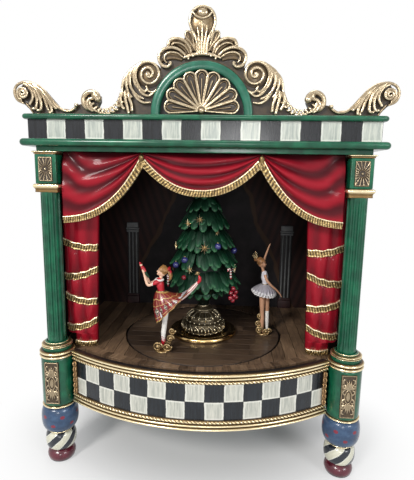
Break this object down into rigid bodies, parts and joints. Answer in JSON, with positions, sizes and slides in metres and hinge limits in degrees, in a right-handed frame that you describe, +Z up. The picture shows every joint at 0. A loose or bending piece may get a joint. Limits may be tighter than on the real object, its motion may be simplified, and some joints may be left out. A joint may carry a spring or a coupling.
{
  "type": "music box",
  "caption": "Wind-up music box shaped like a small theatre: a turntable stage with a tree and dancers under a gilded scrolled pediment, on turned feet.",
  "frame": {"origin": "on the ground under the middle of the object's box", "axes": "+X across the front to the right, +Y from the front to the back wall, +Z up from the feet to the finial"},
  "size_m": [0.3152, 0.195, 0.4],
  "materials": {
    "green_gloss": "glossy green enamel",
    "ivory_checks": "glossy ivory and black paint",
    "gilt": "antique gilt with dark wash in the recesses",
    "red_drape": "glossy red enamel, darker in the folds",
    "braid_gold": "pale gilt",
    "dark_board": "dark stained board",
    "floor_planks": "worn brown planks",
    "pilaster_grey": "grey brown paint",
    "blue_ball": "glossy blue with dark red dots",
    "twist_paint": "glossy ivory and black bands",
    "maroon_bun": "glossy maroon",
    "tree_green": "glossy dark green",
    "ornament_paint": "glossy gold, red and blue paint",
    "red_dancer": "painted figure",
    "white_dancer": "painted figure",
    "brass_part": "plain brass",
    "steel_part": "bright steel",
    "spring_steel": "blued spring steel",
    "panel_black": "matt black",
    "batten_wood": "plain wood"
  },
  "bodies": {
    "case": {"base_plate": "dark_board", "apron_panel": "ivory_checks", "apron_top_moulding": "gilt", "apron_bottom_moulding": "gilt", "apron_end_strips": "gilt", "side_wall_left": "green_gloss", "side_wall_right": "green_gloss", "back_wall": "green_gloss", "service_panel": "panel_black", "stage_floor": "floor_planks", "ceiling_board": "dark_board", "backdrop": "dark_board", "backdrop_pilasters": "pilaster_grey", "pedestal_left": "green_gloss", "pedestal_right": "green_gloss", "gilt_rings": "gilt", "column_left": "green_gloss", "column_right": "green_gloss", "column_reliefs": "gilt", "lower_cornice": "green_gloss", "frieze": "ivory_checks", "upper_cornice": "green_gloss", "pediment_scroll_left": "gilt", "pediment_scroll_right": "gilt", "pediment_arch": "green_gloss", "pediment_tympanum": "dark_board", "pediment_shell": "gilt", "pediment_finial": "gilt", "swag_centre": "red_drape", "swag_left": "red_drape", "swag_right": "red_drape", "curtain_left": "red_drape", "curtain_right": "red_drape", "curtain_braid": "braid_gold", "foot_balls": "blue_ball", "foot_twists": "twist_paint", "foot_buns": "maroon_bun", "turntable_bridge": "batten_wood", "turntable_bearing": "brass_part", "movement_bedplate": "brass_part", "bearing_brackets": "brass_part", "comb": "steel_part", "movement_screws": "steel_part", "case_screws": "brass_part"},
    "turntable": {"turntable_disc": "floor_planks", "turntable_shaft": "brass_part", "tree_stand": "gilt", "tree_foliage": "tree_green", "tree_ornaments": "ornament_paint", "dancer_red": "red_dancer", "dancer_white": "white_dancer"},
    "barrel": {"spring_barrel": "brass_part", "mainspring": "spring_steel"},
    "cylinder": {"pinned_cylinder": "brass_part"},
    "governor_wheel": {"governor_wheel": "brass_part"},
    "governor_fan": {"governor_fan": "steel_part"},
    "winding": {"winding_arbor": "steel_part", "winding_key": "brass_part"},
    "click": {"click_pawl": "steel_part"},
    "stop": {"stop_lever": "brass_part"}
  },
  "joints": [
    {"name": "turntable_spin", "type": "hinge", "parent": "case", "child": "turntable", "pos_m": [0, 0.002, 0.098], "axis": [0, 0, 1], "continuous": true},
    {"name": "barrel_spin", "type": "hinge", "parent": "case", "child": "barrel", "pos_m": [0, 0.044, 0.08], "axis": [0, 0, 1], "continuous": true},
    {"name": "cylinder_spin", "type": "hinge", "parent": "case", "child": "cylinder", "pos_m": [0.038, 0.044, 0.0795], "axis": [1, 0, 0], "continuous": true},
    {"name": "governor_wheel_spin", "type": "hinge", "parent": "case", "child": "governor_wheel", "pos_m": [0.056, 0.03417, 0.08638], "axis": [1, 0, 0], "continuous": true},
    {"name": "governor_fan_spin", "type": "hinge", "parent": "case", "child": "governor_fan", "pos_m": [0.0562, 0.02647, 0.085], "axis": [0, 0, 1], "continuous": true},
    {"name": "key_winding", "type": "hinge", "parent": "case", "child": "winding", "pos_m": [0, 0.044, 0.06], "axis": [0, 0, 1], "range_deg": [0, 1800]},
    {"name": "click_drop", "type": "hinge", "parent": "case", "child": "click", "pos_m": [-0.0106, 0.035, 0.067], "axis": [0, 0, -1], "range_deg": [0, 6]},
    {"name": "stop_lever_swing", "type": "hinge", "parent": "case", "child": "stop", "pos_m": [0.0527, 0.01447, 0.065], "axis": [0, 0, -1], "range_deg": [0, 8]}
  ],
  "couplings": [
    {"joint": "barrel_spin", "follows": "turntable_spin", "ratio": -0.5},
    {"joint": "cylinder_spin", "follows": "turntable_spin", "ratio": -2},
    {"joint": "governor_wheel_spin", "follows": "turntable_spin", "ratio": 6},
    {"joint": "governor_fan_spin", "follows": "turntable_spin", "ratio": 60}
  ]
}
